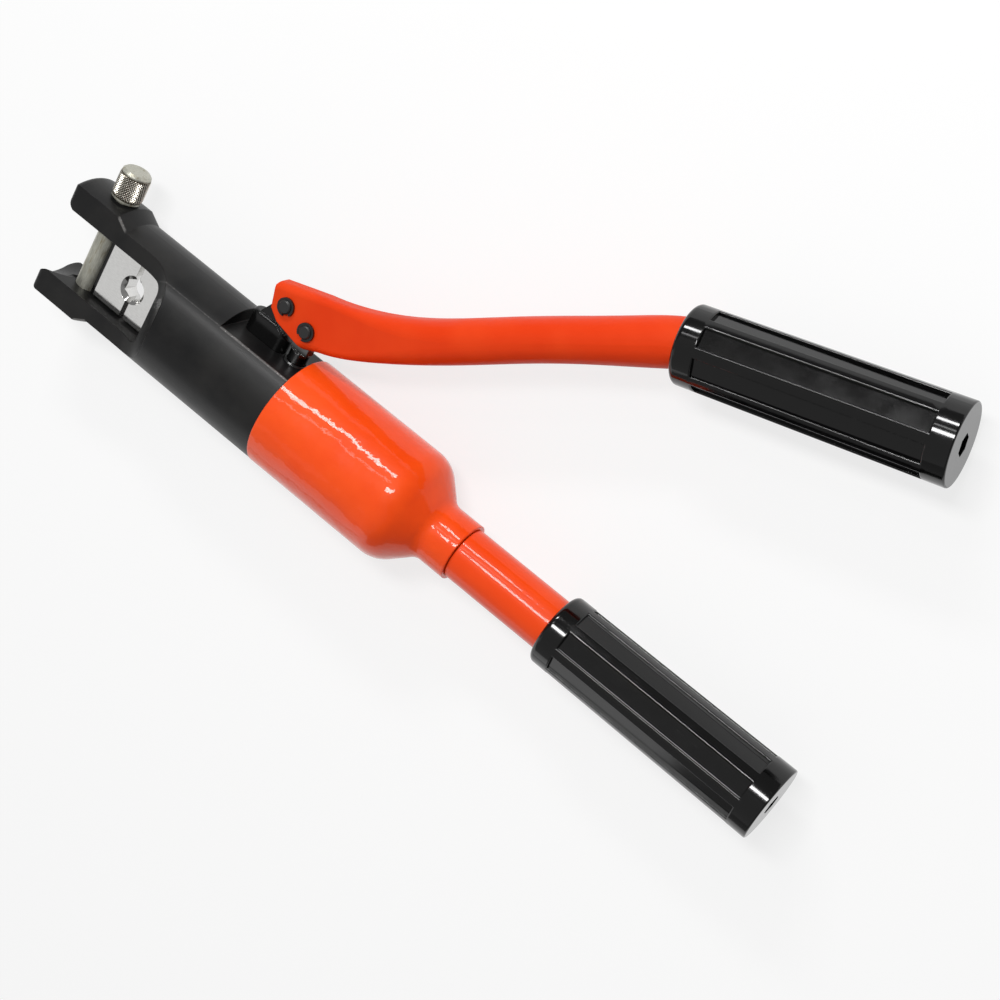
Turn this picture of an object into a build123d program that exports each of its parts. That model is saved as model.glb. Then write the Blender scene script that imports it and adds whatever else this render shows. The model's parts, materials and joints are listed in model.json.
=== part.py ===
from build123d import *
import os
from math import acos, cos, degrees, radians, sin, sqrt, tan

# Hand hydraulic crimping tool, lying on its side. Millimetres.
# X runs along the body from the fork to the fixed grip, Y points to the lever side, Z points up.
# The origin is the centre of the crimp nest, where the body axis crosses the cable axis.

# Gaps between pieces
running_fit = 0.05
seat_gap = 0.02
clear = 0.3
overrun = 2.0

# Head and cylinder forging
body_radius = 24.0
head_radius = 27.2
head_length = 40.5
shoulder_start_x = -16.2
shoulder_end_x = -10.2
tip_round = 3.0
tip_plan_round = 3.0
block_round = 1.2
flat_half = 10.8
flat_end_x = 3.5
runout_radius = 24.0
slot_end_x = 16.0
slot_corner = 4.0
lead_in_radius = 19.8
lead_in_length = 11.5
seam_x = 83.2
spigot_step = 3.0
spigot_length = 10.5
nose_step = 4.0
nose_length = 4.0

# Dies
die_slit = 2.0
die_half_thick = 5.0
die_side_gap = 0.1
hex_across = 8.4
nest_chamfer = 1.1
upper_die_length = 14.8
die_seat_length = 2.28
seat_half_thick = 3.6
key_half = 1.4
key_rise = 1.2
tang_radius = 4.0
tang_length = 4.5

# Latch pin across the fork
latch_radius = 4.7
latch_tail = 1.2
knob_radius = 6.1
knob_length = 12.9
knob_chamfer = 1.0
detent_cover = 4.6
detent_radius = 1.9
detent_screw_length = 4.0

# Ram and its return spring
ram_radius = 14.0
ram_front_x = 17.3
ram_rear_x = 53.5
ram_retract = 11.0
fork_side_gap = 0.35
bore_floor_x = 66.0
hollow_radius = 9.0
hollow_wall = 3.0
ring_thick = 3.0
ring_inset = 1.5
seal_depth = 2.5
seal_length = 4.0
backup_length = 1.2
seal_rear_land = 4.0
rod_radius = 2.5
rod_thread = 3.5
rod_head_radius = 6.0
rod_head_thick = 2.5
spring_wire = 1.8

# Hand pump
pad_start_x = 47.5
pad_y = 18.3
plunger_x = 75.3
plunger_radius = 4.0
plunger_foot_y = 1.0
chamber_floor_y = -4.2
gland_radius = 5.2
gland_rise = 1.0
gland_chamfer = 0.6
packing_floor_y = 9.0
packing_length = 3.0
eye_radius = 4.6
eye_half_thick = 2.6
eye_reach = 1.6
neck_half = 3.9
neck_drop = 10.4

# Lever pivot
pivot_x = 63.7
pivot_y = 37.5
crank_x = 75.9
crank_y = 34.3
pin_radius = 2.75
pin_half_length = 7.2
lug_radius = 5.0
lug_half_thick = 2.6
lug_front_x = 52.6
lug_rear_x = 66.5
block_front_x = 49.8
block_rear_x = 69.6
block_half = 4.0
block_rise = 9.6
block_shelf_x = 62.5
block_low_rise = 5.6
clip_radius = 3.75
clip_thick = 1.0
clip_groove = 0.5
clip_opening = 2.6
pivot_clip_angle = -62.0
crank_clip_angle = -113.0

# Lever tube, pressed flat at the pivot end and round at the grip
lever_wall = 2.0
lever_tube_radius = 9.5
lever_flat_width = 10.0
lever_flat_round = 3.0
lever_grip_x = 204.5
lever_grip_y = 121.5
lever_grip_heading = 16.9
lever_slot_end_x = 91.0

# Valves in the rear of the cylinder
valve_ball = 1.9
valve_bore = 2.6
valve_depth = 10.0
valve_pair_y = -3.0
valve_pair_z = 8.0
outlet_y = -9.0
outlet_depth = 6.5
passage_radius = 1.0
drain_y = -13.0
drain_setback = 1.9
drain_plug_radius = 2.5
drain_plug_length = 4.0
valve_cap = 2.5
release_ball_radius = 2.4
release_bore = 3.2
release_depth = 8.0

# Reservoir housing
housing_step = 0.2
housing_wall = 3.0
shoulder_x = 147.0
cone_angle = 43.0
shoulder_round = 14.0
neck_round = 6.0
neck_radius = 12.4
shoulder_length = 26.5
land_radius = 12.0
o_ring_wire = 1.0
o_ring_setback = 5.5
bladder_wall = 1.5
bladder_cone_length = 12.0
bladder_setback = 10.0
bladder_neck_length = 4.0
clamp_width = 2.5
clamp_thick = 1.4

# Fixed handle and release stem
tube_radius = 10.95
tube_wall = 3.0
journal_radius = 9.0
journal_length = 21.5
journal_wall = 8.0
retainer_width = 2.0
retainer_rise = 2.6
retainer_groove = 1.0
stem_radius = 2.5
stem_seal_radius = 5.0

# Grips, the same on both handles
grip_start_x = 219.0
grip_length = 103.0
grip_front_radius = 14.9
grip_flare = 0.6
grip_front_round = 2.0
grip_end_round = 0.7
grip_end_wall = 8.0
grip_front_band = 8.8
grip_end_band = 9.0
flute_count = 8
flute_width = 7.1
flute_depth = 1.5
flute_rim_round = 0.6
lever_flute_phase = 15.0
handle_flute_phase = 22.5
grip_hole = 4.4

# Sizes that follow from the ones above
head_tip_x = -head_length
lead_in_end_x = head_tip_x + lead_in_length
spigot_radius = body_radius - spigot_step
nose_radius = spigot_radius - nose_step
housing_radius = body_radius + housing_step
bore_radius = ram_radius + running_fit
fork_half = ram_radius + fork_side_gap
die_radius = ram_radius - die_side_gap
drain_x = seam_x + drain_setback
o_ring_x = seam_x + o_ring_setback
nose_start_x = seam_x + spigot_length
nose_end_x = nose_start_x + nose_length
housing_bore = spigot_radius + running_fit
neck_bore = journal_radius + running_fit
upper_die_front_x = -die_slit / 2 - upper_die_length
die_seat_front_x = upper_die_front_x - seat_gap - die_seat_length
latch_x = die_seat_front_x - clear - latch_radius
detent_y = detent_cover - head_radius
lower_die_rear_x = ram_front_x
hollow_front_x = ram_front_x + tang_length + clear + hollow_wall
rod_head_x = hollow_front_x + ram_retract + clear
ring_front_x = ram_rear_x - ring_inset - ring_thick
seal_rear_x = ram_rear_x - seal_rear_land
backup_front_x = seal_rear_x - backup_length
seal_front_x = backup_front_x - seal_length
knob_base_y = head_radius + 2 * clear
gland_top_y = pad_y + gland_rise
eye_slot_half = pin_radius + clear
block_top_y = pad_y + block_rise
lever_flat_half = lever_flat_width / 2
lever_slot_top_y = pivot_y + lug_radius + 2 * clear
clip_start_z = lever_flat_half + clear
neck_corner_x = shoulder_x + (housing_radius - neck_radius) / tan(radians(cone_angle))
neck_end_x = shoulder_x + shoulder_length
journal_front_x = neck_end_x - journal_length
bladder_neck_x = journal_front_x - bladder_setback
bladder_cone_x = bladder_neck_x - bladder_cone_length
wall_across = housing_wall / cos(radians(cone_angle))
grip_end_radius = grip_front_radius + grip_flare
tube_end_x = grip_start_x + grip_length - grip_end_wall - clear
centred_base = (Align.CENTER, Align.CENTER, Align.MIN)


def facing_x(x, y=0.0, z=0.0):
    """Plane across the body axis, looking along +X."""
    return Plane(origin=(x, y, z), x_dir=(0, 1, 0), z_dir=(1, 0, 0))


def facing_y(x, y, z=0.0):
    """Plane across the pump axis, looking along +Y."""
    return Plane(origin=(x, y, z), x_dir=(1, 0, 0), z_dir=(0, 1, 0))


def save(builder, label):
    """Name a finished piece and write it to its own file."""
    builder.part.label = label
    export_step(builder.part, f"parts/{label}.step")


def make_ring(label, start, length, outer, inner):
    """A plain round ring on its own plane, for seals, clamps and sleeves."""
    with BuildPart() as ring:
        with BuildSketch(start):
            Circle(outer)
            Circle(inner, mode=Mode.SUBTRACT)
        extrude(amount=length)
    save(ring, label)


def make_ball(label, centre, radius):
    """A loose steel ball."""
    with BuildPart() as ball:
        with Locations(centre):
            Sphere(radius)
    save(ball, label)


os.makedirs("parts", exist_ok=True)

# Forked head and cylinder, one forging
with BuildPart() as cylinder_body:
    with BuildSketch(Plane.XY):
        with BuildLine():
            Polyline(
                (head_tip_x, 0),
                (head_tip_x, head_radius),
                (shoulder_start_x, head_radius),
                (shoulder_end_x, body_radius),
                (seam_x, body_radius),
                (seam_x, spigot_radius),
                (nose_start_x, spigot_radius),
                (nose_start_x, nose_radius),
                (nose_end_x, nose_radius),
                (nose_end_x, 0),
                close=True,
            )
        make_face()
    revolve(axis=Axis.X)
    fillet(cylinder_body.edges().filter_by(GeomType.CIRCLE).sort_by(Axis.X)[0], tip_round)

    # Side flats of the fork, rounded at the tips and run out into the cylinder along an arc
    flat_rise = head_radius + overrun - flat_half
    runout_angle = degrees(acos(1 - flat_rise / runout_radius))
    with BuildSketch(Plane.XZ):
        with BuildLine():
            Line((head_tip_x - overrun, flat_half - tip_plan_round), (head_tip_x, flat_half - tip_plan_round))
            CenterArc((head_tip_x + tip_plan_round, flat_half - tip_plan_round), tip_plan_round, 180, -90)
            Line((head_tip_x + tip_plan_round, flat_half), (flat_end_x, flat_half))
            runout = CenterArc((flat_end_x, flat_half + runout_radius), runout_radius, 270, runout_angle)
            Polyline(
                runout @ 1,
                (head_tip_x - overrun, flat_half + flat_rise),
                (head_tip_x - overrun, flat_half - tip_plan_round),
            )
        make_face()
        mirror(about=Plane.XZ)
    extrude(amount=head_radius + overrun, both=True, mode=Mode.SUBTRACT)

    # Gap between the arms
    gap_length = slot_end_x - head_tip_x + overrun
    with BuildSketch(Plane.XY) as fork_gap:
        with Locations((slot_end_x - gap_length / 2, 0)):
            Rectangle(gap_length, 2 * fork_half)
        fillet(fork_gap.vertices().sort_by(Axis.X)[-2:], slot_corner)
    extrude(amount=head_radius, both=True, mode=Mode.SUBTRACT)

    # Ram bore, and the lead-in that lets the dies enter from the tip
    with Locations(facing_x(0)):
        Cylinder(bore_radius, bore_floor_x, align=centred_base, mode=Mode.SUBTRACT)
    with BuildSketch(Plane.XY):
        with BuildLine():
            Polyline(
                (head_tip_x, 0),
                (head_tip_x, lead_in_radius),
                (lead_in_end_x, fork_half),
                (lead_in_end_x, 0),
                close=True,
            )
        make_face()
    revolve(axis=Axis.X, mode=Mode.SUBTRACT)

    # Keyways of the upper die
    with Locations((head_tip_x / 2, 0, 0)):
        Box(
            head_length,
            2 * (fork_half + key_rise + clear),
            2 * (key_half + clear),
            mode=Mode.SUBTRACT,
        )

    # Latch pin bore, and its detent
    with Locations(facing_y(latch_x, 0)):
        Cylinder(latch_radius + running_fit, 2 * (head_radius + overrun), mode=Mode.SUBTRACT)
    with Locations(facing_x(head_tip_x, detent_y)):
        Cylinder(detent_radius + running_fit, latch_x - head_tip_x, align=centred_base, mode=Mode.SUBTRACT)

    # Milled pad of the pump
    with Locations(((pad_start_x + seam_x) / 2, pad_y + body_radius / 2, 0)):
        Box(seam_x - pad_start_x, body_radius, 2 * body_radius, mode=Mode.SUBTRACT)

    # Pump chamber with the packing seat
    with Locations(facing_y(plunger_x, chamber_floor_y)):
        Cylinder(
            plunger_radius + running_fit,
            pad_y - chamber_floor_y,
            align=centred_base,
            mode=Mode.SUBTRACT,
        )
    with Locations(facing_y(plunger_x, packing_floor_y)):
        Cylinder(gland_radius + seat_gap, pad_y - packing_floor_y, align=centred_base, mode=Mode.SUBTRACT)

    # Thread of the spring rod
    with Locations(facing_x(bore_floor_x)):
        Cylinder(rod_radius + seat_gap, rod_thread, align=centred_base, mode=Mode.SUBTRACT)

    # Outlet valve, from the chamber to the ram
    with Locations(facing_x(bore_floor_x, outlet_y)):
        Cylinder(valve_bore, outlet_depth, align=centred_base, mode=Mode.SUBTRACT)
        Cylinder(passage_radius, plunger_x - bore_floor_x, align=centred_base, mode=Mode.SUBTRACT)
    with Locations(facing_y(plunger_x, outlet_y - passage_radius)):
        Cylinder(
            passage_radius,
            chamber_floor_y - outlet_y + passage_radius,
            align=centred_base,
            mode=Mode.SUBTRACT,
        )

    # Inlet and relief valves, drilled from the rear face and slanted into the chamber
    valve_floor_x = nose_end_x - valve_depth
    for side in (1, -1):
        seat = Vector(valve_floor_x, valve_pair_y, side * valve_pair_z)
        chamber = Vector(plunger_x, valve_pair_y, 0)
        with Locations(facing_x(valve_floor_x, valve_pair_y, side * valve_pair_z)):
            Cylinder(valve_bore, valve_depth, align=centred_base, mode=Mode.SUBTRACT)
        with Locations(Plane(origin=chamber, z_dir=seat - chamber)):
            Cylinder(passage_radius, (seat - chamber).length, align=centred_base, mode=Mode.SUBTRACT)

    # Release valve on the axis, with its drain from the ram bore
    with Locations(facing_x(nose_end_x - release_depth)):
        Cylinder(release_bore, release_depth, align=centred_base, mode=Mode.SUBTRACT)
    with Locations(facing_x(drain_x)):
        Cylinder(
            passage_radius,
            nose_end_x - release_depth - drain_x,
            align=centred_base,
            mode=Mode.SUBTRACT,
        )
    with Locations(facing_y(drain_x, -spigot_radius)):
        Cylinder(passage_radius, spigot_radius, align=centred_base, mode=Mode.SUBTRACT)
        Cylinder(drain_plug_radius + seat_gap, drain_plug_length, align=centred_base, mode=Mode.SUBTRACT)
    with Locations(facing_x(bore_floor_x, drain_y)):
        Cylinder(passage_radius, drain_x - bore_floor_x, align=centred_base, mode=Mode.SUBTRACT)

    # Groove of the housing seal
    with BuildSketch(Plane.XY):
        with Locations((o_ring_x, spigot_radius - o_ring_wire)):
            Rectangle(2 * (o_ring_wire + clear), 2 * o_ring_wire)
    revolve(axis=Axis.X, mode=Mode.SUBTRACT)
save(cylinder_body, "cylinder_body")

# Dies: one slab each, rounded to the ram bore, with half of the hexagonal nest
hex_radius = hex_across / sqrt(3)


def make_die(label, start_x, end_x, with_keys, with_tang):
    """One half of the die pair, from start_x to end_x along the body axis."""
    length = end_x - start_x
    with BuildPart() as die:
        with Locations(facing_x(start_x)):
            Cylinder(die_radius, length, align=centred_base)
        with Locations(((start_x + end_x) / 2, 0, 0)):
            Box(length, 2 * die_radius, 2 * die_half_thick, mode=Mode.INTERSECT)
        if with_keys:
            with Locations(((start_x + end_x) / 2, 0, 0)):
                Box(length, 2 * (fork_half + key_rise), 2 * key_half)
        if with_tang:
            with Locations(facing_x(end_x)):
                Cylinder(tang_radius, tang_length, align=centred_base)
        with BuildSketch(Plane.XY):
            RegularPolygon(hex_radius, 6, rotation=90)
        extrude(amount=die_half_thick, both=True, mode=Mode.SUBTRACT)
        for side in (1, -1):
            with Locations(Plane(origin=(0, 0, side * die_half_thick), z_dir=(0, 0, -side))):
                Cone(hex_radius + nest_chamfer, hex_radius - nest_chamfer, 2 * nest_chamfer,
                     align=centred_base, mode=Mode.SUBTRACT)
    save(die, label)


make_die("upper_die", upper_die_front_x, -die_slit / 2, True, False)
make_die("lower_die", die_slit / 2, lower_die_rear_x, False, True)

# Seat block that carries the upper die against the latch pin
with BuildPart() as die_seat:
    with Locations((die_seat_front_x + die_seat_length / 2, 0, 0)):
        Box(die_seat_length, 2 * die_radius, 2 * seat_half_thick)
        Box(die_seat_length, 2 * (fork_half + key_rise), 2 * key_half)
save(die_seat, "die_seat")

# Latch pin with its knob
with BuildPart() as latch_pin:
    with Locations(facing_y(latch_x, latch_tail - head_radius)):
        Cylinder(latch_radius, head_radius - latch_tail + knob_base_y, align=centred_base)
    chamfer(latch_pin.edges().sort_by(Axis.Y)[0], knob_chamfer)
    with Locations(facing_y(latch_x, knob_base_y)):
        Cylinder(knob_radius, knob_length, align=centred_base)
    chamfer(latch_pin.edges().sort_by(Axis.Y)[-1], knob_chamfer)
save(latch_pin, "latch_pin")

# Detent that keeps the latch pin in
detent_ball_x = latch_x - latch_radius - clear - detent_radius
make_ball("detent_ball", (detent_ball_x, detent_y, 0), detent_radius)
detent_spring_x = head_tip_x + detent_screw_length
make_ring(
    "detent_spring",
    facing_x(detent_spring_x, detent_y),
    detent_ball_x - detent_radius - detent_spring_x,
    detent_radius - running_fit,
    detent_radius / 2,
)
with BuildPart() as detent_screw:
    with Locations(facing_x(head_tip_x, detent_y)):
        Cylinder(detent_radius + running_fit - seat_gap, detent_screw_length, align=centred_base)
    with BuildSketch(facing_x(head_tip_x, detent_y)):
        RegularPolygon(detent_radius / 2, 6)
    extrude(amount=detent_screw_length / 2, mode=Mode.SUBTRACT)
save(detent_screw, "detent_screw")

# Ram: solid nose with the die socket, hollow behind, seal groove near the rear
with BuildPart() as ram:
    with Locations(facing_x(ram_front_x)):
        Cylinder(ram_radius, ram_rear_x - ram_front_x, align=centred_base)
        Cylinder(tang_radius + seat_gap, tang_length + clear, align=centred_base, mode=Mode.SUBTRACT)
    with Locations(facing_x(hollow_front_x)):
        Cylinder(hollow_radius, ram_rear_x - hollow_front_x, align=centred_base, mode=Mode.SUBTRACT)
    with BuildSketch(Plane.XY):
        with Locations(((seal_front_x + seal_rear_x) / 2, ram_radius - seal_depth / 2)):
            Rectangle(seal_rear_x - seal_front_x, seal_depth)
    revolve(axis=Axis.X, mode=Mode.SUBTRACT)
save(ram, "ram")

make_ring("ram_seal", facing_x(seal_front_x), seal_length, ram_radius, ram_radius - seal_depth)
make_ring("ram_backup_ring", facing_x(backup_front_x), backup_length, ram_radius, ram_radius - seal_depth)
make_ring(
    "spring_retainer",
    facing_x(ring_front_x),
    ring_thick,
    hollow_radius - seat_gap,
    rod_radius + clear,
)

# Fixed rod inside the ram; the return spring sits between its head and the retainer
with BuildPart() as spring_rod:
    with Locations(facing_x(rod_head_x)):
        Cylinder(rod_head_radius, rod_head_thick, align=centred_base)
        Cylinder(rod_radius, bore_floor_x + rod_thread - rod_head_x, align=centred_base)
save(spring_rod, "spring_rod")

spring_front_x = rod_head_x + rod_head_thick
make_ring(
    "return_spring",
    facing_x(spring_front_x),
    ring_front_x - spring_front_x,
    rod_radius + 2 * clear + spring_wire,
    rod_radius + 2 * clear,
)

# Pivot bracket on the pad: a rounded block with a sloping top and one thin lug
with BuildPart() as pivot_bracket:
    with BuildSketch(facing_y((block_front_x + block_rear_x) / 2, pad_y)):
        SlotOverall(block_rear_x - block_front_x, 2 * block_half)
    extrude(amount=block_rise)
    fillet(pivot_bracket.faces().sort_by(Axis.Y)[-1].edges(), block_round)
    with BuildSketch(Plane.XY):
        Polygon(
            (block_shelf_x, block_top_y),
            (block_rear_x, pad_y + block_low_rise),
            (block_rear_x + overrun, pad_y + block_low_rise),
            (block_rear_x + overrun, block_top_y + overrun),
            (block_shelf_x, block_top_y + overrun),
            align=None,
        )
    extrude(amount=block_half + overrun, both=True, mode=Mode.SUBTRACT)
    with BuildSketch(Plane.XY):
        Polygon(
            (lug_front_x, pad_y),
            (lug_rear_x, pad_y),
            (lug_rear_x, pad_y + block_low_rise),
            (pivot_x + lug_radius, pivot_y),
            (pivot_x - lug_radius, pivot_y),
            (lug_front_x, block_top_y - block_round),
            align=None,
        )
        with Locations((pivot_x, pivot_y)):
            Circle(lug_radius)
    extrude(amount=lug_half_thick, both=True)
    with Locations((pivot_x, pivot_y, 0)):
        Cylinder(pin_radius + running_fit, 2 * block_half, mode=Mode.SUBTRACT)
save(pivot_bracket, "pivot_bracket")

# Plunger with a flat eye; the eye is a slot because the crank pin swings on an arc
with BuildPart() as pump_plunger:
    with Locations(facing_y(plunger_x, plunger_foot_y)):
        Cylinder(plunger_radius, crank_y - neck_drop - plunger_foot_y, align=centred_base)
    with BuildSketch(Plane.XY):
        with Locations((plunger_x, crank_y - neck_drop / 2)):
            Rectangle(2 * neck_half, neck_drop)
        with Locations((plunger_x, crank_y)):
            SlotCenterToCenter(2 * eye_reach, 2 * eye_radius)
            SlotCenterToCenter(2 * eye_reach, 2 * eye_slot_half, mode=Mode.SUBTRACT)
    extrude(amount=eye_half_thick, both=True)
save(pump_plunger, "pump_plunger")

make_ring(
    "plunger_seal",
    facing_y(plunger_x, packing_floor_y),
    packing_length,
    gland_radius,
    plunger_radius + running_fit,
)
with BuildPart() as plunger_gland:
    with BuildSketch(facing_y(plunger_x, packing_floor_y + packing_length)):
        Circle(gland_radius)
        Circle(plunger_radius + clear, mode=Mode.SUBTRACT)
    extrude(amount=gland_top_y - packing_floor_y - packing_length)
    chamfer(plunger_gland.faces().sort_by(Axis.Y)[-1].edges().sort_by(SortBy.RADIUS)[-1], gland_chamfer)
save(plunger_gland, "plunger_gland")

# Lever tube as sections along its bent centre line: x, y, heading, height, width
lever_stations = [
    (54.4, 29.8, 20.0, 25.5, lever_flat_width),
    (79.3, 39.6, 22.0, 22.2, lever_flat_width),
    (97.1, 47.0, 27.0, 19.5, 12.5),
    (113.0, 56.2, 33.0, 17.7, 16.0),
    (143.7, 78.5, 36.2, 17.0, 18.5),
    (175.0, 101.5, 36.0, 17.2, 2 * lever_tube_radius),
    (188.9, 111.2, 33.0, 18.2, 2 * lever_tube_radius),
    (197.0, 116.8, 27.0, 18.8, 2 * lever_tube_radius),
    (lever_grip_x, lever_grip_y, lever_grip_heading, 2 * lever_tube_radius, 2 * lever_tube_radius),
]
round_share = 0.49


def lever_corner(height, width):
    """Corner radius of a lever section, tight at the pressed end and full at the round tube."""
    pressed = (2 * lever_tube_radius - width) / (2 * lever_tube_radius - lever_flat_width)
    return pressed * lever_flat_round + (1 - pressed) * round_share * min(height, width)


def across_lever(x, y, heading):
    """Plane across the lever, its first axis in the plane of the swing."""
    along = (cos(radians(heading)), sin(radians(heading)), 0)
    return Plane(origin=(x, y, 0), x_dir=(-along[1], along[0], 0), z_dir=along)


# Outline that the pressed end is trimmed to
lever_tip = [(57.0, 60.0), (56.4, 46.5), (55.2, 42.0), (57.8, 33.1), (62.5, 29.7), (77.5, 26.5), (84.0, 12.0)]
lever_tip_back_x = 30.0
grip_plane = across_lever(lever_grip_x, lever_grip_y, lever_grip_heading)
lever_tube_length = grip_length - grip_end_wall - clear

with BuildPart() as lever_arm:
    for run in (lever_stations[:2], lever_stations[1:]):
        for x, y, heading, height, width in run:
            with BuildSketch(across_lever(x, y, heading)):
                RectangleRounded(height, width, lever_corner(height, width))
        loft()
    with Locations(grip_plane):
        Cylinder(lever_tube_radius, lever_tube_length, align=centred_base)
    for run in (lever_stations[:2], lever_stations[1:]):
        for x, y, heading, height, width in run:
            inner_height = height - 2 * lever_wall
            inner_width = width - 2 * lever_wall
            with BuildSketch(across_lever(x, y, heading)):
                RectangleRounded(inner_height, inner_width, lever_corner(height, width) - lever_wall)
        loft(mode=Mode.SUBTRACT)
    with Locations(grip_plane):
        Cylinder(lever_tube_radius - lever_wall, lever_tube_length, align=centred_base, mode=Mode.SUBTRACT)

    # Trimmed end, and the slot below for the lug and the plunger
    with BuildSketch(Plane.XY):
        Polygon(
            (lever_tip_back_x, lever_tip[0][1]),
            *lever_tip,
            (lever_tip_back_x, lever_tip[-1][1]),
            align=None,
        )
    extrude(amount=lever_tube_radius + overrun, both=True, mode=Mode.SUBTRACT)
    with BuildSketch(Plane.XY):
        Polygon(
            (lever_tip_back_x, pad_y),
            (lever_slot_end_x, pad_y),
            (lever_slot_end_x, pivot_y),
            (crank_x, lever_slot_top_y),
            (lever_tip_back_x, lever_slot_top_y),
            align=None,
        )
    extrude(amount=lug_half_thick + clear, both=True, mode=Mode.SUBTRACT)
    with Locations((pivot_x, pivot_y, 0), (crank_x, crank_y, 0)):
        Cylinder(pin_radius + seat_gap, 2 * lever_tube_radius, mode=Mode.SUBTRACT)
save(lever_arm, "lever_arm")


def make_pin(label, x, y):
    """A plain pin along Z with a snap ring groove near each end."""
    with BuildPart() as pin:
        with Locations((x, y, 0)):
            Cylinder(pin_radius, 2 * pin_half_length)
        chamfer(pin.edges().filter_by(GeomType.CIRCLE), clip_groove)
        for start_z in (clip_start_z, -clip_start_z - clip_thick):
            with BuildSketch(Plane.XY.offset(start_z)):
                with Locations((x, y)):
                    Circle(pin_radius)
                    Circle(pin_radius - clip_groove, mode=Mode.SUBTRACT)
            extrude(amount=clip_thick, mode=Mode.SUBTRACT)
    save(pin, label)


make_pin("pivot_pin", pivot_x, pivot_y)
make_pin("plunger_pin", crank_x, crank_y)

# Open snap rings, one at each end of both pins
clip_bore = pin_radius - clip_groove + seat_gap
with BuildPart() as pin_clips:
    for start_z in (clip_start_z, -clip_start_z - clip_thick):
        with BuildSketch(Plane.XY.offset(start_z)):
            for x, y, angle in ((pivot_x, pivot_y, pivot_clip_angle), (crank_x, crank_y, crank_clip_angle)):
                with Locations((x, y)):
                    Circle(clip_radius)
                    Circle(clip_bore, mode=Mode.SUBTRACT)
                opening_x = x + clip_radius * cos(radians(angle))
                opening_y = y + clip_radius * sin(radians(angle))
                with Locations((opening_x, opening_y)):
                    Rectangle(2 * (clip_radius - clip_bore) + clip_groove, clip_opening, rotation=angle,
                              mode=Mode.SUBTRACT)
        extrude(amount=clip_thick)
save(pin_clips, "pin_clips")


def make_grip(label, start_x, start_y, heading, tube, phase):
    """A moulded grip with flutes, blind over the end of a tube."""
    along = Vector(cos(radians(heading)), sin(radians(heading)), 0)
    origin = Vector(start_x, start_y, 0)
    flute_start = origin + along * grip_front_band
    flute_length = grip_length - grip_front_band - grip_end_band
    with BuildPart() as grip:
        profile_side = Vector(0, 0, 1).rotate(Axis(origin, along), phase)
        with BuildSketch(Plane(origin=origin, x_dir=along, z_dir=profile_side)) as profile:
            with BuildLine():
                Polyline(
                    (0, 0),
                    (0, grip_front_radius),
                    (grip_length, grip_end_radius),
                    (grip_length, 0),
                    close=True,
                )
            make_face()
            fillet(profile.vertices().sort_by(Axis.Y)[-2], grip_front_round)
            fillet(profile.vertices().sort_by(Axis.Y)[-1], grip_end_round)
        revolve(axis=Axis(origin, along))
        flute_plane = across_lever(flute_start.X, flute_start.Y, heading)
        with BuildSketch(flute_plane):
            with PolarLocations(grip_front_radius - flute_depth, flute_count, start_angle=phase):
                Rectangle(4 * flute_depth, flute_width, align=(Align.MIN, Align.CENTER))
        extrude(amount=flute_length, mode=Mode.SUBTRACT)
        rims = []
        for edge in grip.edges(Select.LAST):
            middle = flute_plane.to_local_coords(edge.position_at(0.5))
            if sqrt(middle.X**2 + middle.Y**2) > grip_front_radius - running_fit:
                rims.append(edge)
        fillet(rims, flute_rim_round)
        with Locations(across_lever(start_x, start_y, heading)):
            Cylinder(tube + seat_gap, grip_length - grip_end_wall, align=centred_base, mode=Mode.SUBTRACT)
        with BuildSketch(across_lever(start_x, start_y, heading)):
            RegularPolygon(grip_hole, 6)
        extrude(amount=grip_length, mode=Mode.SUBTRACT)
    save(grip, label)


make_grip("lever_grip", lever_grip_x, lever_grip_y, lever_grip_heading, lever_tube_radius, lever_flute_phase)
make_grip("handle_grip", grip_start_x, 0.0, 0.0, tube_radius, handle_flute_phase)

# Inlet valve: ball on its seat, spring, and a holed cap at the rear face
ball_x = valve_floor_x + valve_ball + clear
make_ball("inlet_ball", (ball_x, valve_pair_y, valve_pair_z), valve_ball)
valve_spring_x = ball_x + valve_ball
valve_cap_x = nose_end_x - valve_cap
make_ring(
    "inlet_spring",
    facing_x(valve_spring_x, valve_pair_y, valve_pair_z),
    valve_cap_x - valve_spring_x,
    valve_ball,
    valve_ball / 2,
)
make_ring(
    "inlet_cap",
    facing_x(valve_cap_x, valve_pair_y, valve_pair_z),
    valve_cap,
    valve_bore - seat_gap,
    passage_radius,
)

# Relief valve: the same ball and spring, set by a slotted screw
make_ball("relief_ball", (ball_x, valve_pair_y, -valve_pair_z), valve_ball)
make_ring(
    "relief_spring",
    facing_x(valve_spring_x, valve_pair_y, -valve_pair_z),
    valve_cap_x - valve_spring_x,
    valve_ball,
    valve_ball / 2,
)
with BuildPart() as relief_screw:
    with Locations(facing_x(valve_cap_x, valve_pair_y, -valve_pair_z)):
        Cylinder(valve_bore - seat_gap, valve_cap, align=centred_base)
    with Locations((nose_end_x, valve_pair_y, -valve_pair_z)):
        Box(valve_cap, passage_radius, 2 * valve_bore, mode=Mode.SUBTRACT)
save(relief_screw, "relief_screw")

# Outlet valve at the bore floor
outlet_ball_x = bore_floor_x + outlet_depth - valve_ball - clear
make_ball("outlet_ball", (outlet_ball_x, outlet_y, 0), valve_ball)
make_ring(
    "outlet_cap",
    facing_x(bore_floor_x, outlet_y),
    outlet_ball_x - valve_ball - bore_floor_x,
    valve_bore - seat_gap,
    passage_radius,
)

# Drain plug under the housing, and the release ball on the axis
with BuildPart() as drain_plug:
    with Locations(facing_y(drain_x, -spigot_radius + drain_plug_radius / 2)):
        Cylinder(drain_plug_radius, drain_plug_length - drain_plug_radius / 2, align=centred_base)
save(drain_plug, "drain_plug")
release_ball_x = nose_end_x - release_depth + release_ball_radius + seat_gap
make_ball("release_ball", (release_ball_x, 0, 0), release_ball_radius)

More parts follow.
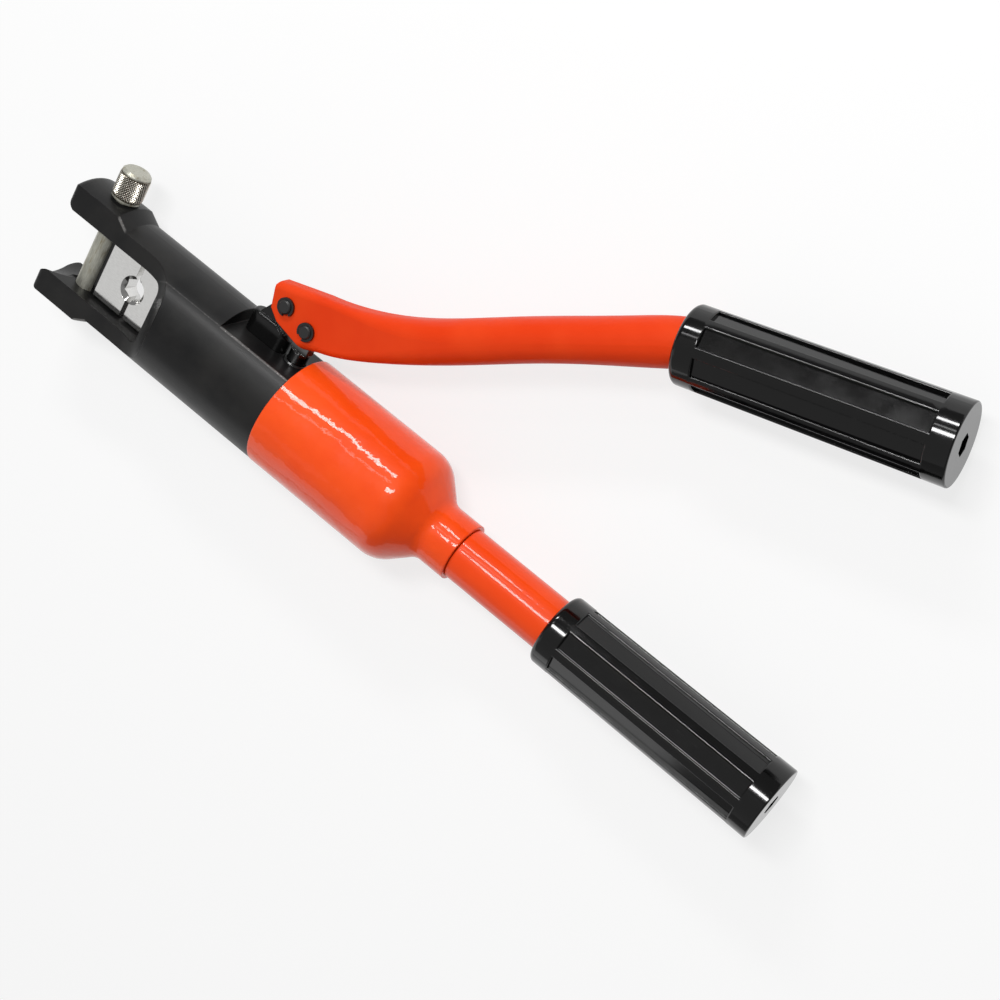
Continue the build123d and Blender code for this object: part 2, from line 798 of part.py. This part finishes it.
# Reservoir housing: a thin bottle that screws over the rear spigot
cone_slope = tan(radians(cone_angle))
inner_shoulder_x = shoulder_x + (housing_radius - wall_across - housing_bore) / cone_slope
land_x = shoulder_x + (housing_radius - wall_across - land_radius) / cone_slope
with BuildPart() as reservoir_housing:
    with BuildSketch(Plane.XY) as bottle:
        with BuildLine():
            Polyline(
                (seam_x, housing_bore),
                (seam_x, housing_radius),
                (shoulder_x, housing_radius),
                (neck_corner_x, neck_radius),
                (neck_end_x, neck_radius),
                (neck_end_x, neck_bore),
                (land_x, neck_bore),
                (land_x, land_radius),
                (inner_shoulder_x, housing_bore),
                close=True,
            )
        make_face()
        fillet(bottle.vertices().sort_by_distance((shoulder_x, housing_radius))[0], shoulder_round)
        fillet(bottle.vertices().sort_by_distance((neck_corner_x, neck_radius))[0], neck_round)
        inner_corner = bottle.vertices().sort_by_distance((inner_shoulder_x, housing_bore))[0]
        fillet(inner_corner, shoulder_round - housing_wall)
    revolve(axis=Axis.X)
    fillet(
        reservoir_housing.edges().filter_by(GeomType.CIRCLE).filter_by(
            lambda edge: abs(edge.radius - neck_radius) < seat_gap and edge.center().X > neck_end_x - seat_gap
        ),
        clear,
    )
save(reservoir_housing, "reservoir_housing")

with BuildPart() as housing_seal:
    with Locations(facing_x(o_ring_x)):
        Torus(spigot_radius - o_ring_wire, o_ring_wire)
save(housing_seal, "housing_seal")

# Oil bladder, clamped on the nose in front and closed on the stem seal behind
bladder_bore = nose_radius + seat_gap
bladder_neck = stem_seal_radius + seat_gap
bladder_end_x = bladder_neck_x + bladder_neck_length
with BuildPart() as oil_bladder:
    with BuildSketch(Plane.XY):
        with BuildLine():
            Polyline(
                (nose_start_x + clear, bladder_bore),
                (nose_start_x + clear, bladder_bore + bladder_wall),
                (bladder_cone_x, bladder_bore + bladder_wall),
                (bladder_neck_x, bladder_neck + bladder_wall),
                (bladder_end_x, bladder_neck + bladder_wall),
                (bladder_end_x, bladder_neck),
                (bladder_neck_x, bladder_neck),
                (bladder_cone_x, bladder_bore),
                close=True,
            )
        make_face()
    revolve(axis=Axis.X)
save(oil_bladder, "oil_bladder")

clamp_bore = bladder_bore + bladder_wall + seat_gap
clamp_x = nose_start_x + clear + (nose_length - clear - clamp_width) / 2
make_ring("bladder_clamp", facing_x(clamp_x), clamp_width, clamp_bore + clamp_thick, clamp_bore)
make_ring(
    "stem_seal",
    facing_x(bladder_neck_x),
    bladder_neck_length,
    stem_seal_radius,
    stem_radius + running_fit,
)

# Fixed handle tube: a journal in the neck, which the whole handle turns on
retainer_x = land_x - clear - retainer_width
with BuildPart() as handle_tube:
    with Locations(facing_x(neck_end_x + clear)):
        Cylinder(tube_radius, tube_end_x - neck_end_x - clear, align=centred_base)
    with Locations(facing_x(journal_front_x)):
        Cylinder(journal_radius, neck_end_x + clear - journal_front_x, align=centred_base)
        Cylinder(stem_radius + seat_gap, journal_wall, align=centred_base, mode=Mode.SUBTRACT)
    with Locations(facing_x(journal_front_x + journal_wall)):
        Cylinder(
            journal_radius - tube_wall,
            neck_end_x + clear - journal_front_x - journal_wall,
            align=centred_base,
            mode=Mode.SUBTRACT,
        )
    with Locations(facing_x(neck_end_x + clear)):
        Cylinder(
            tube_radius - tube_wall,
            tube_end_x - neck_end_x - clear,
            align=centred_base,
            mode=Mode.SUBTRACT,
        )
    with BuildSketch(facing_x(retainer_x - seat_gap)):
        Circle(journal_radius)
        Circle(journal_radius - retainer_groove, mode=Mode.SUBTRACT)
    extrude(amount=retainer_width + 2 * seat_gap, mode=Mode.SUBTRACT)
save(handle_tube, "handle_tube")

make_ring(
    "handle_retainer",
    facing_x(retainer_x),
    retainer_width,
    journal_radius + retainer_rise,
    journal_radius - retainer_groove + seat_gap,
)

with BuildPart() as release_stem:
    stem_front_x = release_ball_x + release_ball_radius + clear
    with Locations(facing_x(stem_front_x)):
        Cylinder(stem_radius, journal_front_x + journal_wall - stem_front_x, align=centred_base)
    chamfer(release_stem.edges().sort_by(Axis.X)[0], stem_radius / 2)
save(release_stem, "release_stem")
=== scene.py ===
import json
import math

import bpy
from mathutils import Matrix, Vector


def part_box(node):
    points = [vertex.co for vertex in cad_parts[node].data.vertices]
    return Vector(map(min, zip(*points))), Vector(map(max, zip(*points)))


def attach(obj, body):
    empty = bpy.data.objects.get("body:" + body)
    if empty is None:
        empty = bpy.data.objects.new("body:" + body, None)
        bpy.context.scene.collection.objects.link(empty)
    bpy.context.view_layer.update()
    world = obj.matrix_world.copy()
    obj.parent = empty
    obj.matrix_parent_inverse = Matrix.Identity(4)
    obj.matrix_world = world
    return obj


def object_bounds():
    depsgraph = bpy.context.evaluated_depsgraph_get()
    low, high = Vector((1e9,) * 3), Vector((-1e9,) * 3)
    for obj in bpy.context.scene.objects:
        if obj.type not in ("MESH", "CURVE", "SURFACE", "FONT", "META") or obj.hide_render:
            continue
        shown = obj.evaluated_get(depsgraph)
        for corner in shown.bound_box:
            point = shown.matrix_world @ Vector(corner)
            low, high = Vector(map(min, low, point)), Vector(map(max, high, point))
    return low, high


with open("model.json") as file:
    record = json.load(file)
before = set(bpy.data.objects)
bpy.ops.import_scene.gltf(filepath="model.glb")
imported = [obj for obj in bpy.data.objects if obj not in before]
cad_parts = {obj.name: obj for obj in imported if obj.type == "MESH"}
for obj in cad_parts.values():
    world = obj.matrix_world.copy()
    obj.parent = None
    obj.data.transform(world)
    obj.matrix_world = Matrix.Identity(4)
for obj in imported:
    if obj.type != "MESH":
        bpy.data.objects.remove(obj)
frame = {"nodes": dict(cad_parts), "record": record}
nodes = frame["nodes"]
cad_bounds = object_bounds()
scene = bpy.context.scene
MM = 0.001


# Small helpers for shader graphs

def new_material(name):
    material = bpy.data.materials.new(name)
    material.use_nodes = True
    shader = material.node_tree.nodes["Principled BSDF"]
    return material, material.node_tree, shader


def add(tree, kind, **settings):
    node = tree.nodes.new(kind)
    for key, value in settings.items():
        setattr(node, key, value)
    return node


def math_node(tree, operation, first, second=None, third=None):
    node = add(tree, "ShaderNodeMath", operation=operation)
    for socket, value in zip(node.inputs, (first, second, third)):
        if value is None:
            continue
        if isinstance(value, (int, float)):
            socket.default_value = value
        else:
            tree.links.new(value, socket)
    return node.outputs[0]


def place(tree, scale=(1, 1, 1)):
    """Row-frame coordinates in millimetres, stretched by scale."""
    coordinates = add(tree, "ShaderNodeTexCoord")
    mapping = add(tree, "ShaderNodeMapping")
    mapping.inputs["Scale"].default_value = [stretch / MM for stretch in scale]
    tree.links.new(coordinates.outputs["Object"], mapping.inputs["Vector"])
    return mapping.outputs["Vector"]


def noise(tree, vector, scale, detail=4.0, roughness=0.55):
    node = add(tree, "ShaderNodeTexNoise")
    node.inputs["Scale"].default_value = scale
    node.inputs["Detail"].default_value = detail
    node.inputs["Roughness"].default_value = roughness
    tree.links.new(vector, node.inputs["Vector"])
    return node.outputs[0]


def ramp(tree, value, low, high, out_low=0.0, out_high=1.0):
    node = add(tree, "ShaderNodeMapRange", interpolation_type="SMOOTHSTEP")
    node.inputs["From Min"].default_value = low
    node.inputs["From Max"].default_value = high
    node.inputs["To Min"].default_value = out_low
    node.inputs["To Max"].default_value = out_high
    tree.links.new(value, node.inputs["Value"])
    return node.outputs[0]


def mix_colour(tree, factor, first, second):
    node = add(tree, "ShaderNodeMix", data_type="RGBA")
    if isinstance(factor, (int, float)):
        node.inputs["Factor"].default_value = factor
    else:
        tree.links.new(factor, node.inputs["Factor"])
    for socket, value in ((node.inputs[6], first), (node.inputs[7], second)):
        if isinstance(value, tuple):
            socket.default_value = (*value, 1.0)
        else:
            tree.links.new(value, socket)
    return node.outputs[2]


def bump(tree, shader, height, strength, distance=0.0002, edge=0.0):
    """Fine relief; edge is the radius in metres by which sharp corners look broken."""
    node = add(tree, "ShaderNodeBump")
    node.inputs["Strength"].default_value = strength
    node.inputs["Distance"].default_value = distance
    tree.links.new(height, node.inputs["Height"])
    if edge:
        soft_edge = add(tree, "ShaderNodeBevel", samples=6)
        soft_edge.inputs["Radius"].default_value = edge
        tree.links.new(soft_edge.outputs["Normal"], node.inputs["Normal"])
    tree.links.new(node.outputs["Normal"], shader.inputs["Normal"])
    tree.links.new(node.outputs["Normal"], shader.inputs["Coat Normal"])


def band(tree, value, low, high, soft):
    """1 where value lies between low and high, with soft edges."""
    rise = ramp(tree, value, low - soft, low + soft)
    fall = ramp(tree, value, high - soft, high + soft, 1.0, 0.0)
    return math_node(tree, "MULTIPLY", rise, fall)


def multiply(tree, *values):
    result = values[0]
    for value in values[1:]:
        result = math_node(tree, "MULTIPLY", result, value)
    return result


def split(tree):
    """X, Y and Z of the row frame in millimetres."""
    parts = add(tree, "ShaderNodeSeparateXYZ")
    tree.links.new(place(tree), parts.inputs[0])
    return parts.outputs


# Black oxide of the forged head and cylinder, with four paler marks: a rubbed nick by the slot, a pad edge
# that is partly rubbed wear and partly a painted highlight, a painted highlight along the shoulder edge, and
# a thin pale line along the cylinder

# Low end, high end and softness of each paler range, in millimetres of the row frame or in radians
pad_edge_x = (47.6, 83.0, 0.2)
pad_edge_y = (17.95, 18.7, 0.2)
pad_edge_z = (14.9, 16.2, 0.3)
pale_line_x = (14.0, 50.0, 1.0)
pale_line_angle = (0.857, 0.877, 0.006)
shoulder_x = (-16.0, -10.8, 0.6)
shoulder_z = (10.0, 11.4, 0.2)
shoulder_slope = 0.588
shoulder_offset = (14.8, 15.7, 0.25)
nick_x = (13.5, 19.5, 0.6)
nick_y = (7.0, 14.5, 1.0)
nick_z = (10.0, 14.0, 0.6)
oxide_dark = (0.006, 0.006, 0.0062)
oxide_light = (0.013, 0.0125, 0.012)
# Pale tone of the rubbed wear and of the painted highlights
wear_and_highlight_tone = (0.36, 0.35, 0.34)


def black_oxide():
    material, tree, shader = new_material("black_oxide")
    x, y, z = split(tree)
    tall_z = math_node(tree, "ABSOLUTE", z)
    grain = noise(tree, place(tree), 1.6, 6.0)
    clouds = noise(tree, place(tree), 0.06, 3.0)
    drawn = noise(tree, place(tree, (0.12, 2.2, 2.2)), 0.9, 5.0, 0.6)
    base = mix_colour(tree, ramp(tree, clouds, 0.35, 0.7), oxide_dark, oxide_light)

    specks = ramp(tree, noise(tree, place(tree), 0.9, 6.0, 0.75), 0.52, 0.66)
    # Pale strip along the pad edge: partly rubbed wear, partly a painted highlight
    pad_edge_wear_and_highlight = multiply(
        tree,
        band(tree, x, *pad_edge_x),
        band(tree, y, *pad_edge_y),
        band(tree, tall_z, *pad_edge_z),
        ramp(tree, specks, 0.0, 1.0, 0.25, 1.0),
    )
    # A thin pale line along the cylinder, at one angle round its axis, between x 14 and 50 mm
    angle = math_node(tree, "ARCTAN2", y, tall_z)
    pale_line = multiply(
        tree,
        band(tree, angle, *pale_line_angle),
        band(tree, x, *pale_line_x),
        ramp(tree, specks, 0.0, 1.0, 0.06, 0.22),
    )
    # Painted highlight: a pale streak along the edge where the head's flat meets the sloping shoulder
    offset = math_node(tree, "MULTIPLY_ADD", x, shoulder_slope, math_node(tree, "ABSOLUTE", y))
    shoulder_highlight = multiply(
        tree,
        band(tree, x, *shoulder_x),
        band(tree, tall_z, *shoulder_z),
        band(tree, offset, *shoulder_offset),
        ramp(tree, specks, 0.0, 1.0, 0.3, 0.9),
    )
    slot_nick = multiply(
        tree,
        band(tree, x, *nick_x),
        band(tree, y, *nick_y),
        band(tree, tall_z, *nick_z),
        specks,
        ramp(tree, drawn, 0.5, 0.62),
    )
    # Rubbed wear and painted highlights together, which mix in the pale tone
    wear_and_highlight = pad_edge_wear_and_highlight
    for patch in (pale_line, shoulder_highlight, slot_nick):
        wear_and_highlight = math_node(tree, "MAXIMUM", wear_and_highlight, patch)
    tree.links.new(mix_colour(tree, wear_and_highlight, base, wear_and_highlight_tone), shader.inputs["Base Color"])
    satin = ramp(tree, clouds, 0.3, 0.75, 0.40, 0.50)
    rough = math_node(tree, "ADD", satin, ramp(tree, drawn, 0.3, 0.7, 0.0, 0.06))
    tree.links.new(rough, shader.inputs["Roughness"])
    shader.inputs["Specular IOR Level"].default_value = 0.10
    shader.inputs["Coat Weight"].default_value = 0.30
    shader.inputs["Coat Roughness"].default_value = 0.32
    height = math_node(tree, "ADD", multiply(tree, grain, 0.6), multiply(tree, drawn, 0.8))
    bump(tree, shader, height, 0.16, 0.0001, 0.0005)
    return material


def gloss_black(name, level, roughness, grain_scale, strength, edge=0.0, shine=0.5):
    """Black plastic or black lacquer with faint handling marks."""
    material, tree, shader = new_material(name)
    clouds = noise(tree, place(tree), 0.12, 4.0)
    scuffs = noise(tree, place(tree, (0.15, 1.0, 1.0)), 2.2, 6.0, 0.7)
    low = (level * 0.8, level * 0.8, level * 0.82)
    high = (level * 1.5, level * 1.5, level * 1.5)
    tree.links.new(mix_colour(tree, clouds, low, high), shader.inputs["Base Color"])
    rough = math_node(tree, "ADD", ramp(tree, clouds, 0.3, 0.7, roughness * 0.8, roughness * 1.25),
                      ramp(tree, scuffs, 0.58, 0.75, 0.0, 0.14))
    tree.links.new(rough, shader.inputs["Roughness"])
    shader.inputs["Specular IOR Level"].default_value = shine
    bump(tree, shader, noise(tree, place(tree), grain_scale, 3.0), strength, 0.0001, edge)
    return material


def orange_paint(name, low, high, roughness, coat, ripple):
    """Thick sprayed orange enamel; ripple is the height in metres of the slow waves in its skin."""
    material, tree, shader = new_material(name)
    waves = noise(tree, place(tree), 0.055, 1.0, 0.3)
    peel = noise(tree, place(tree), 0.3, 2.0, 0.4)
    skin = math_node(tree, "MULTIPLY_ADD", peel, 0.12, waves)
    clouds = noise(tree, place(tree), 0.035, 3.0)
    dust = noise(tree, place(tree), 2.8, 6.0, 0.7)
    tint = mix_colour(tree, ramp(tree, clouds, 0.3, 0.7), low, high)
    marks = ramp(tree, dust, 0.68, 0.80, 0.0, 0.35)
    tree.links.new(mix_colour(tree, marks, tint, (0.42, 0.05, 0.01)), shader.inputs["Base Color"])
    rough = ramp(tree, clouds, 0.3, 0.7, roughness * 0.85, roughness * 1.15)
    tree.links.new(rough, shader.inputs["Roughness"])
    shader.inputs["Specular IOR Level"].default_value = 0.12
    shader.inputs["Coat Weight"].default_value = coat
    shader.inputs["Coat Roughness"].default_value = 0.06
    shader.inputs["Coat IOR"].default_value = 1.35
    bump(tree, shader, skin, 1.0, ripple, 0.0006)
    return material


def steel(name, tone, roughness, stretch, spread=0.12, stain=0.0, metal=1.0):
    """Ground or turned steel; stretch sets the direction of the fine marks."""
    material, tree, shader = new_material(name)
    marks = noise(tree, place(tree, stretch), 1.0, 6.0, 0.65)
    clouds = noise(tree, place(tree), 0.16, 4.0)
    low = tuple(c * (1 - spread) for c in tone)
    colour = mix_colour(tree, ramp(tree, marks, 0.3, 0.7), low, tone)
    if stain:
        brown = tuple(c * s for c, s in zip(tone, (0.50, 0.44, 0.34)))
        blotches = noise(tree, place(tree, (1.0, 0.25, 1.0)), 0.55, 5.0, 0.6)
        colour = mix_colour(tree, ramp(tree, blotches, 0.5, 0.72, 0.0, stain), colour, brown)
    tree.links.new(colour, shader.inputs["Base Color"])
    shader.inputs["Metallic"].default_value = metal
    rough = ramp(tree, clouds, 0.3, 0.7, roughness * 0.8, roughness * 1.25)
    tree.links.new(rough, shader.inputs["Roughness"])
    bump(tree, shader, marks, 0.05, 0.0001, 0.0002)
    return material


def rubber():
    material, tree, shader = new_material("seal_rubber")
    clouds = noise(tree, place(tree), 0.5, 4.0)
    colour = mix_colour(tree, clouds, (0.012, 0.012, 0.012), (0.03, 0.03, 0.03))
    tree.links.new(colour, shader.inputs["Base Color"])
    shader.inputs["Roughness"].default_value = 0.6
    bump(tree, shader, clouds, 0.1, 0.0002)
    return material


def pale_plastic():
    material, tree, shader = new_material("backup_plastic")
    clouds = noise(tree, place(tree), 0.5, 4.0)
    colour = mix_colour(tree, clouds, (0.72, 0.71, 0.66), (0.82, 0.81, 0.77))
    tree.links.new(colour, shader.inputs["Base Color"])
    shader.inputs["Roughness"].default_value = 0.45
    bump(tree, shader, clouds, 0.05, 0.0002)
    return material


# Looks of the material slots: colours are linear, lengths of edge and ripple are in metres

blacks = {
    "bracket_black": dict(
        level=0.003, roughness=0.14, grain_scale=0.9, strength=0.06, edge=0.0006, shine=0.3
    ),
    "link_steel": dict(level=0.012, roughness=0.34, grain_scale=1.4, strength=0.10, edge=0.0002),
    "clip_black": dict(level=0.006, roughness=0.30, grain_scale=1.4, strength=0.08, edge=0.0001),
    "gland_dark": dict(level=0.008, roughness=0.22, grain_scale=1.2, strength=0.08, edge=0.0003),
    "grip_plastic": dict(level=0.0010, roughness=0.10, grain_scale=0.3, strength=0.004),
}
paints = {
    "orange_paint": dict(
        low=(0.84, 0.062, 0.003), high=(0.90, 0.080, 0.005), roughness=0.40, coat=0.8, ripple=0.0010
    ),
    "tube_paint": dict(
        low=(0.84, 0.060, 0.004), high=(0.88, 0.072, 0.006), roughness=0.40, coat=0.6, ripple=0.0002
    ),
    "lever_paint": dict(
        low=(0.70, 0.040, 0.003), high=(0.74, 0.050, 0.005), roughness=0.50, coat=0.08, ripple=0.0002
    ),
}
steels = {
    "die_steel": dict(tone=(0.80, 0.795, 0.78), roughness=0.12, stretch=(0.5, 3.0, 3.0)),
    "pin_steel": dict(
        tone=(0.56, 0.555, 0.48), roughness=0.42, stretch=(2.5, 0.3, 2.5), spread=0.3, stain=0.9, metal=0.75
    ),
    "ram_steel": dict(tone=(0.60, 0.60, 0.59), roughness=0.24, stretch=(2.5, 0.4, 0.4)),
    "plunger_steel": dict(tone=(0.16, 0.16, 0.16), roughness=0.18, stretch=(2.0, 0.5, 2.0)),
    "spring_steel": dict(tone=(0.42, 0.42, 0.43), roughness=0.30, stretch=(2.5, 0.4, 0.4)),
    "inner_steel": dict(tone=(0.52, 0.52, 0.52), roughness=0.28, stretch=(2.5, 0.4, 0.4)),
}
materials = {"black_oxide": black_oxide(), "seal_rubber": rubber(), "backup_plastic": pale_plastic()}
for looks, make in ((blacks, gloss_black), (paints, orange_paint), (steels, steel)):
    for name, look in looks.items():
        materials[name] = make(name, **look)
for entry in frame["record"]["subparts"]:
    mesh = nodes[entry["node"]].data
    mesh.materials.clear()
    mesh.materials.append(materials[entry["material_slot"]])


# Diamond knurl on the latch knob, between a plain foot band and the plain chamfered top

pin_low, pin_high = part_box("latch_pin")
knob_x = 0.5 * (pin_low[0] + pin_high[0])
knob_z = 0.5 * (pin_low[2] + pin_high[2])
knob_radius = 0.5 * (pin_high[0] - pin_low[0])
knurl_reach = 12.0 * MM
knurl_top_band = 1.6 * MM
knurl_start = pin_high[1] - knurl_reach
knurl_end = pin_high[1] - knurl_top_band
knurl_depth = 0.34 * MM
knurl_skin = 0.03 * MM
knurl_teeth = 36
knurl_turns = 8.0
knurl_run_in = 0.1
knurl_steepness = 1.25
points_per_tooth = 10
around = knurl_teeth * points_per_tooth
along = 80


def ridge(phase):
    """Height from 0 to 1 of a row of ridges, one per unit of phase."""
    return 1.0 - 2.0 * abs(phase - math.floor(phase) - 0.5)


def knurl_steel():
    """Bright crests, darker between them."""
    material, tree, shader = new_material("knurl_steel")
    x, y, z = split(tree)
    out_x = math_node(tree, "SUBTRACT", x, knob_x / MM)
    out_z = math_node(tree, "SUBTRACT", z, knob_z / MM)
    square = math_node(tree, "MULTIPLY_ADD", out_x, out_x, multiply(tree, out_z, out_z))
    reach = math_node(tree, "SQRT", square)
    low = (knob_radius + knurl_skin) / MM
    crest = ramp(tree, reach, low + 0.04, low + 0.8 * knurl_depth / MM)
    clouds = noise(tree, place(tree), 0.5, 4.0)
    metal = mix_colour(tree, clouds, (0.80, 0.76, 0.67), (0.97, 0.93, 0.85))
    tree.links.new(mix_colour(tree, crest, (0.10, 0.085, 0.06), metal), shader.inputs["Base Color"])
    shader.inputs["Metallic"].default_value = 0.9
    shader.inputs["Roughness"].default_value = 0.28
    return material


knurl_points = []
for row in range(along + 1):
    part_way = row / along
    fade = min(1.0, part_way / knurl_run_in, (1.0 - part_way) / knurl_run_in)
    for column in range(around):
        angle = 2.0 * math.pi * column / around
        teeth = knurl_teeth * column / around
        diamond = min(ridge(teeth + knurl_turns * part_way), ridge(teeth - knurl_turns * part_way))
        radius = knob_radius + knurl_skin + knurl_depth * fade * min(1.0, knurl_steepness * diamond)
        knurl_points.append((
            knob_x + radius * math.cos(angle),
            knurl_start + part_way * (knurl_end - knurl_start),
            knob_z + radius * math.sin(angle),
        ))
knurl_faces = []
for row in range(along):
    for column in range(around):
        first = row * around + column
        second = row * around + (column + 1) % around
        knurl_faces.append((first, first + around, second + around, second))
knurl_mesh = bpy.data.meshes.new("knob_knurl")
knurl_mesh.from_pydata(knurl_points, [], knurl_faces)
knurl_mesh.materials.append(knurl_steel())
knurl = bpy.data.objects.new("knob_knurl", knurl_mesh)
scene.collection.objects.link(knurl)
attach(knurl, "latch")


# Camera of the photo

camera_place = Vector((382.7, 374.0, 664.4)) * MM
camera_right = Vector((0.7512, 0.4593, -0.4741))
camera_forward = Vector((-0.2667, -0.4456, -0.8545))

camera_data = bpy.data.cameras.new("camera")
camera_data.sensor_width = 36.0
camera_data.lens = 75.09
camera_data.clip_start = 0.01
camera = bpy.data.objects.new("camera", camera_data)
scene.collection.objects.link(camera)
right = camera_right.normalized()
forward = (camera_forward - right * camera_forward.dot(right)).normalized()
up = right.cross(forward)
turn = Matrix((right, up, -forward)).transposed().to_4x4()
camera.matrix_world = Matrix.Translation(camera_place) @ turn
scene.camera = camera


# Pale floor, which shows white to the camera and in reflections and keeps a soft shadow

floor_reach = 40.0
floor_tone = 0.9
floor_glow = 0.75
floor_z = cad_bounds[0][2]
floor_corners = [(x * floor_reach, y * floor_reach, floor_z) for x, y in ((-1, -1), (1, -1), (1, 1), (-1, 1))]
floor_mesh = bpy.data.meshes.new("floor")
floor_mesh.from_pydata(floor_corners, [], [(0, 1, 2, 3)])
floor = bpy.data.objects.new("floor", floor_mesh)
scene.collection.objects.link(floor)
floor_material, floor_tree, floor_shader = new_material("floor")
floor_shader.inputs["Base Color"].default_value = (floor_tone, floor_tone, floor_tone, 1)
floor_shader.inputs["Roughness"].default_value = 0.9
floor_shader.inputs["Specular IOR Level"].default_value = 0.0
rays = add(floor_tree, "ShaderNodeLightPath")
seen = math_node(floor_tree, "MAXIMUM", rays.outputs["Is Camera Ray"], rays.outputs["Is Glossy Ray"])
seen = math_node(floor_tree, "MAXIMUM", seen, rays.outputs["Is Transmission Ray"])
glow = add(floor_tree, "ShaderNodeEmission")
blend = add(floor_tree, "ShaderNodeMixShader")
floor_tree.links.new(multiply(floor_tree, seen, floor_glow), blend.inputs[0])
floor_tree.links.new(floor_shader.outputs[0], blend.inputs[1])
floor_tree.links.new(glow.outputs[0], blend.inputs[2])
floor_tree.links.new(blend.outputs[0], floor_tree.nodes["Material Output"].inputs["Surface"])
floor_mesh.materials.append(floor_material)

# Even sky and soft lamps

sky_strength = 0.22
world = bpy.data.worlds.new("world")
world.use_nodes = True
background = world.node_tree.nodes["Background"]
background.inputs["Color"].default_value = (1, 1, 1, 1)
background.inputs["Strength"].default_value = sky_strength
scene.world = world


def soft_box(name, spot, target, width, height, power):
    """Rectangular lamp; places and sizes in metres, power in watts."""
    data = bpy.data.lights.new(name, "AREA")
    data.shape = "RECTANGLE"
    data.size = width
    data.size_y = height
    data.energy = power
    light = bpy.data.objects.new(name, data)
    scene.collection.objects.link(light)
    light.location = spot
    aim = Vector(target) - Vector(spot)
    light.rotation_euler = aim.to_track_quat("-Z", "Y").to_euler()


lamps = {
    "lamp": dict(spot=(-0.30, 0.98, 0.60), target=(0.11, 0.02, 0.02), width=0.45, height=0.11, power=4.9),
    "low_lamp": dict(
        spot=(-0.30, 0.742, 0.879), target=(0.11, 0.02, 0.02), width=0.45, height=0.06, power=0.5
    ),
    "grip_lamp": dict(spot=(0.10, 0.60, 0.965), target=(0.27, 0.0, 0.0), width=0.45, height=0.15, power=7.0),
    "ceiling": dict(spot=(-0.3, -0.5, 1.5), target=(0.12, 0.05, 0.0), width=2.6, height=2.6, power=4.0),
    "fill": dict(spot=(-0.5, -1.0, 0.30), target=(0.10, 0.0, 0.0), width=1.4, height=0.5, power=2.2),
    "card": dict(spot=(-0.60, -0.59, 1.03), target=(0.0, 0.0, 0.01), width=0.5, height=0.5, power=0.25),
}
for lamp_name, lamp in lamps.items():
    soft_box(lamp_name, **lamp)

scene.view_settings.view_transform = "Standard"
